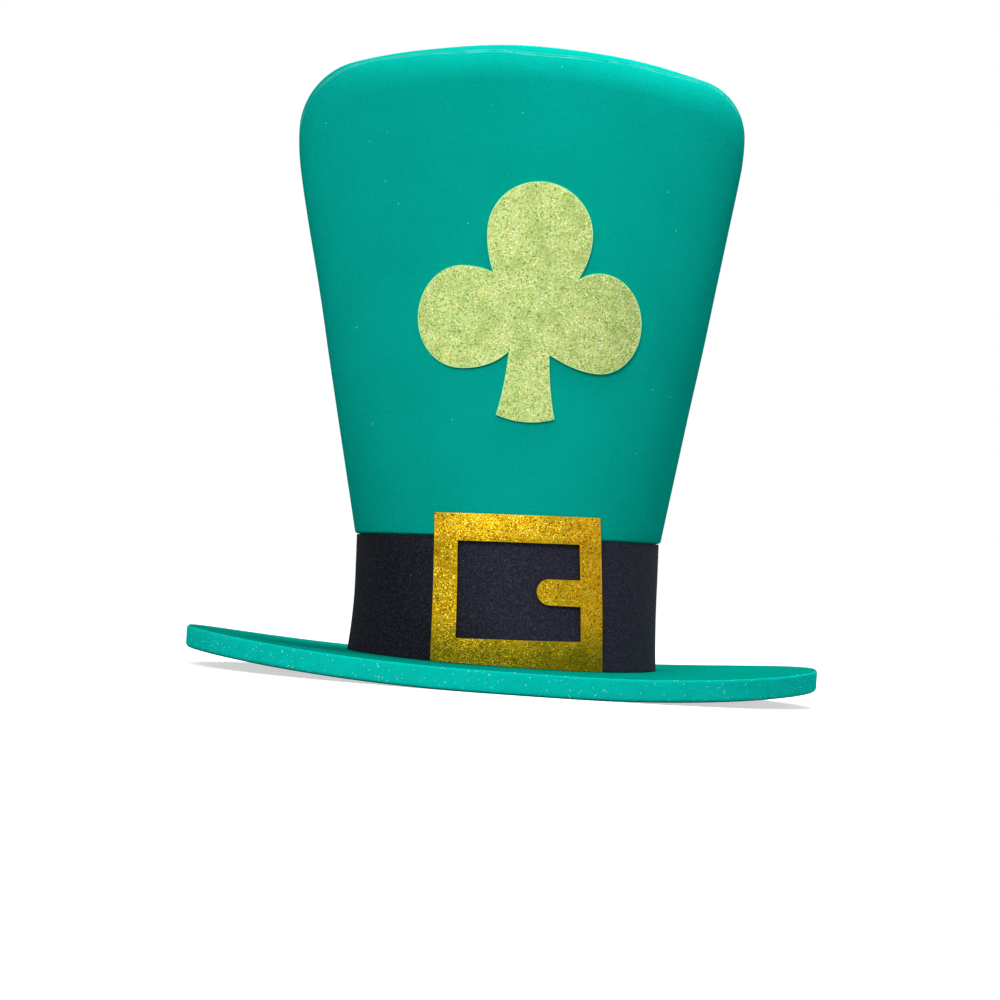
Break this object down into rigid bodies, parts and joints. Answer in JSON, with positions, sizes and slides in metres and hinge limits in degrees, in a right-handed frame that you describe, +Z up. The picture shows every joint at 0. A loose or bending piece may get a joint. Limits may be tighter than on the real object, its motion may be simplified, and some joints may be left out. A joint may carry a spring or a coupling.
{
  "type": "leprechaun hat",
  "caption": "Tall flared costume top hat of thick green foam, pressed flat to a seam on top, with a foam brim, black band, square gold buckle and pale green shamrock.",
  "frame": {"origin": "middle of the brim, on the surface that the hat rests on", "axes": "+X to the viewer's right across the front, +Y from the front to the back, +Z up"},
  "size_m": [0.428, 0.424, 0.4355],
  "materials": {
    "green_foam": "soft matt foam sheet in blue green, fine pored",
    "black_foam": "thin matt foam sheet in blue black, fine pored",
    "gold_glitter": "coarse gold glitter on foam sheet",
    "pale_green_glitter": "coarse yellow green glitter on foam sheet"
  },
  "bodies": {
    "root": {"crown_front": "green_foam", "crown_back": "green_foam", "brim": "green_foam", "belt": "black_foam", "buckle": "gold_glitter", "shamrock": "pale_green_glitter"}
  },
  "joints": []
}
